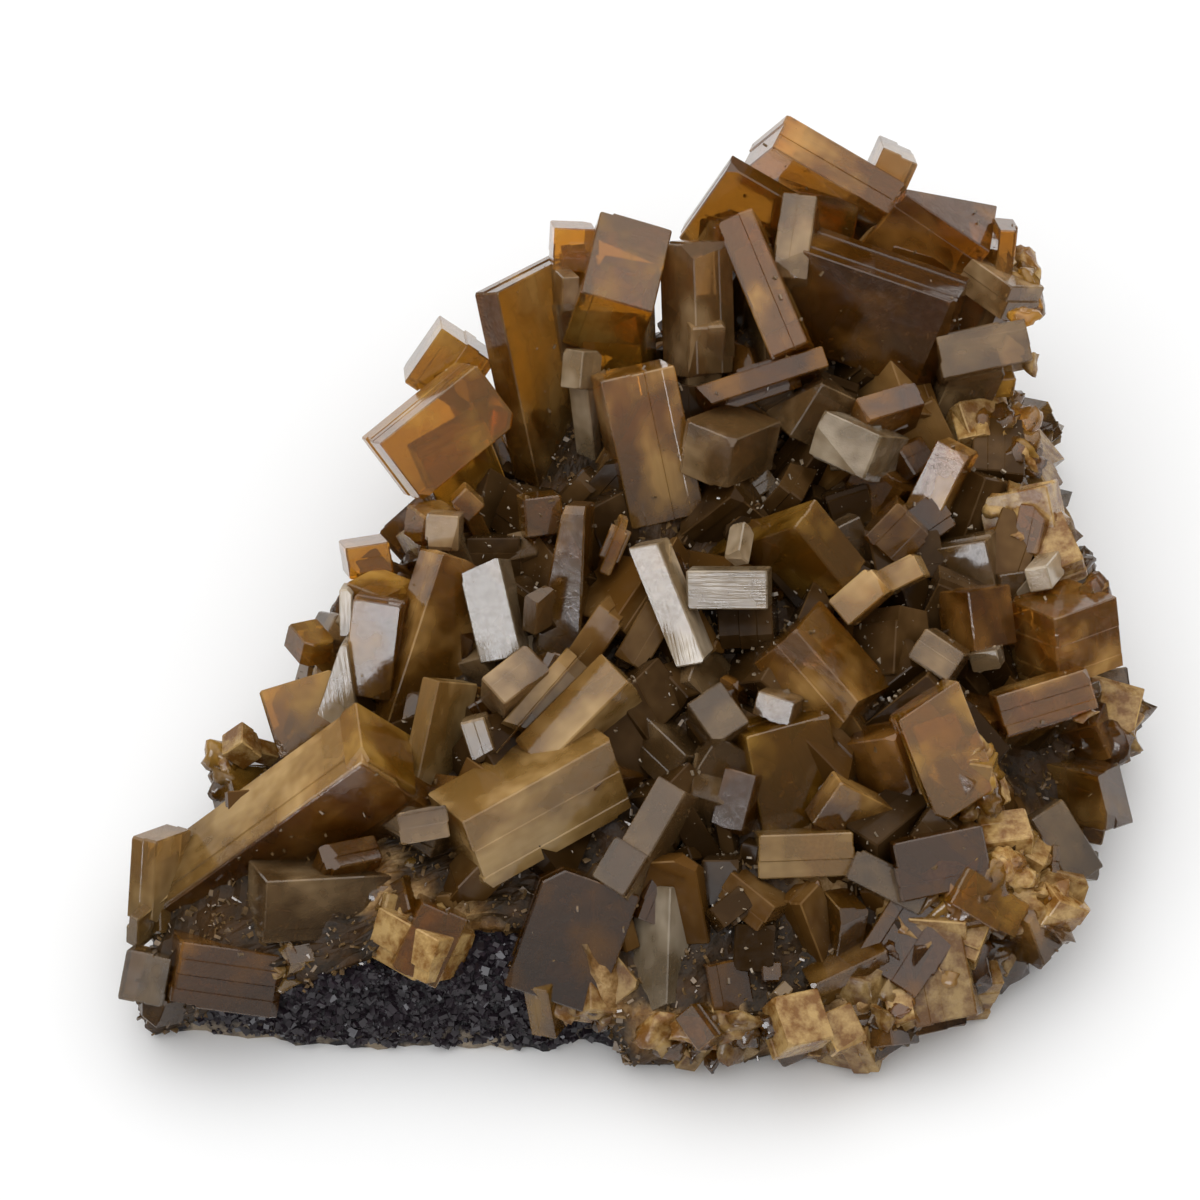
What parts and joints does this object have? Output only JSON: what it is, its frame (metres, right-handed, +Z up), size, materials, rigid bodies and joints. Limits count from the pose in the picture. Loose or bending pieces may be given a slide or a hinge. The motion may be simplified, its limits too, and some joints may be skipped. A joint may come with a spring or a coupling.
{
  "type": "barite crystal specimen",
  "caption": "Golden brown tabular barite crystals grown together over a dark rock slab with a flat underside.",
  "frame": {"origin": "on the flat underside of the rock slab, under the middle of the plate", "axes": "+Z up from the table, +X to the right along the long front edge, +Y away from the front edge towards the tallest crystals"},
  "size_m": [0.1003, 0.0966, 0.0373],
  "materials": {
    "matrix": "dark purple-black granular rock, sparkling",
    "barite": "honey-brown translucent crystal, glassy faces"
  },
  "bodies": {
    "root": {"matrix_rock": "matrix", "barite_cluster": "barite"}
  },
  "joints": []
}
